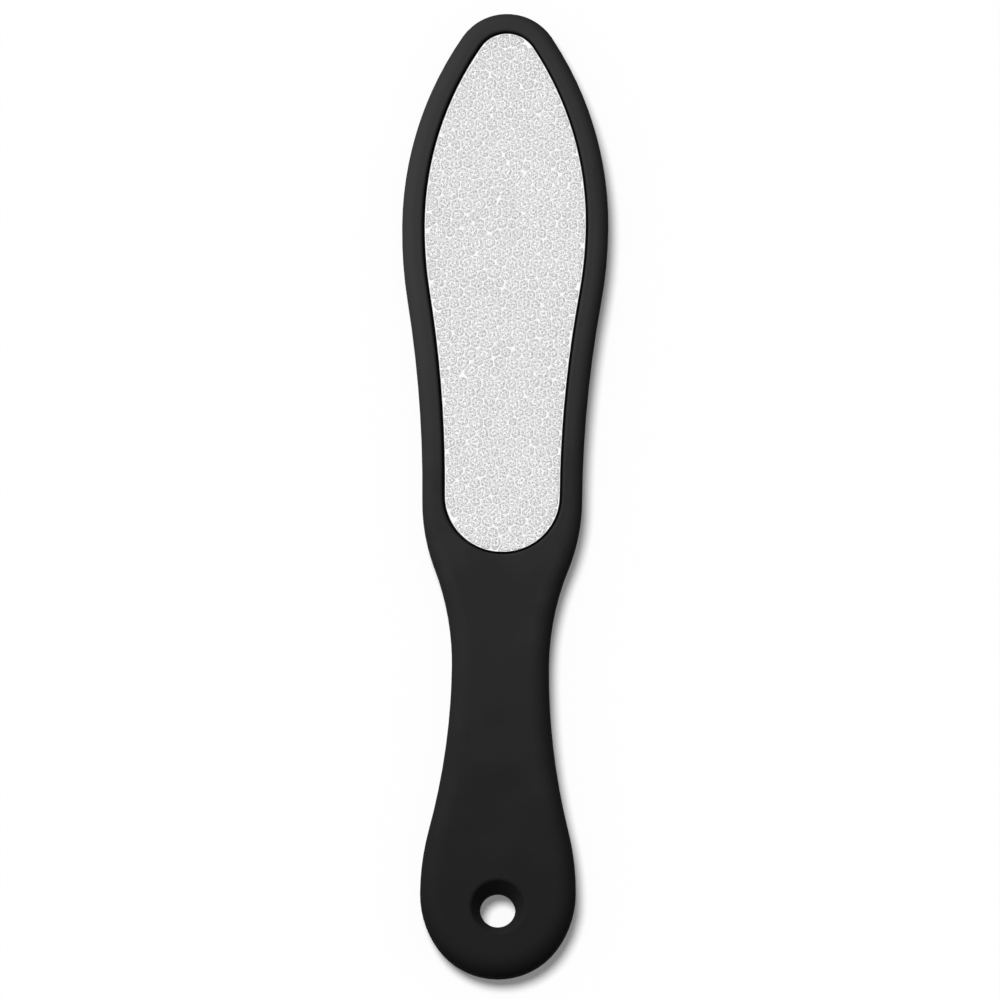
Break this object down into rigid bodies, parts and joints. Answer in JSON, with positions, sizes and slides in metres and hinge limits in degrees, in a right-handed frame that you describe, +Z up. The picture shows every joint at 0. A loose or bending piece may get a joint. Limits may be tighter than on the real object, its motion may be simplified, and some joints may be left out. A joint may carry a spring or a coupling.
{
  "type": "foot file",
  "caption": "Paddle-shaped double-sided foot file: a slim black soft-touch body with a waisted handle, flared hanging hole and an inset etched metal abrasive face.",
  "frame": {"origin": "on the surface that the file lies on, under the middle of its bounding box", "axes": "+Y from the butt towards the tip, +X to the right seen from the coarse side, +Z up out of the coarse face"},
  "size_m": [0.0542, 0.26, 0.0116],
  "materials": {
    "soft_grip": "matt soft-touch black with a fine grain",
    "rigid_core": "moulded dark plastic, unpainted",
    "coarse_abrasive_sheet": "etched bright stainless steel with raised round islands",
    "fine_abrasive_sheet": "etched bright stainless steel with a finer pattern",
    "adhesive_film": "translucent double-sided film"
  },
  "bodies": {
    "root": {"soft_grip": "soft_grip", "rigid_core": "rigid_core", "coarse_abrasive_sheet": "coarse_abrasive_sheet", "coarse_adhesive_film": "adhesive_film", "fine_abrasive_sheet": "fine_abrasive_sheet", "fine_adhesive_film": "adhesive_film"}
  },
  "joints": []
}
